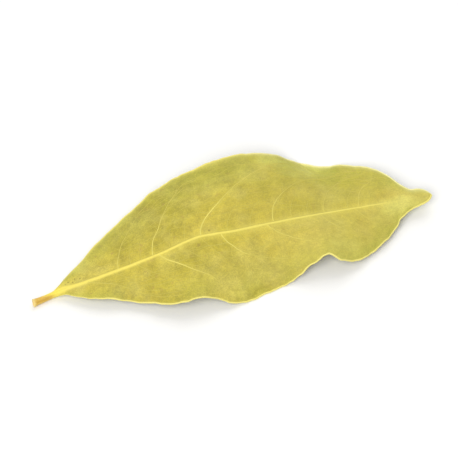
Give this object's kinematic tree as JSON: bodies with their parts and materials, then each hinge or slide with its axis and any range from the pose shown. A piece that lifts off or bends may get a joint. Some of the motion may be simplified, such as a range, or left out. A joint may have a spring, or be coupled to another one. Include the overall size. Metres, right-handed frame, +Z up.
{
  "type": "dried bay leaf",
  "caption": "Single dried bay leaf lying underside up, with waved margins, a raised pale midrib, low side veins and a short stalk.",
  "frame": {"origin": "middle of the leaf's footprint, on the surface it lies on", "axes": "+X runs along the leaf towards its tip, +Y across it towards its wider half, +Z up, out of the underside that faces up"},
  "size_m": [0.0904, 0.034, 0.0078],
  "materials": {
    "bay_leaf": "matte, dry, yellow-olive leaf with a pale yellow midrib"
  },
  "bodies": {
    "root": {"bay_leaf": "bay_leaf"}
  },
  "joints": []
}
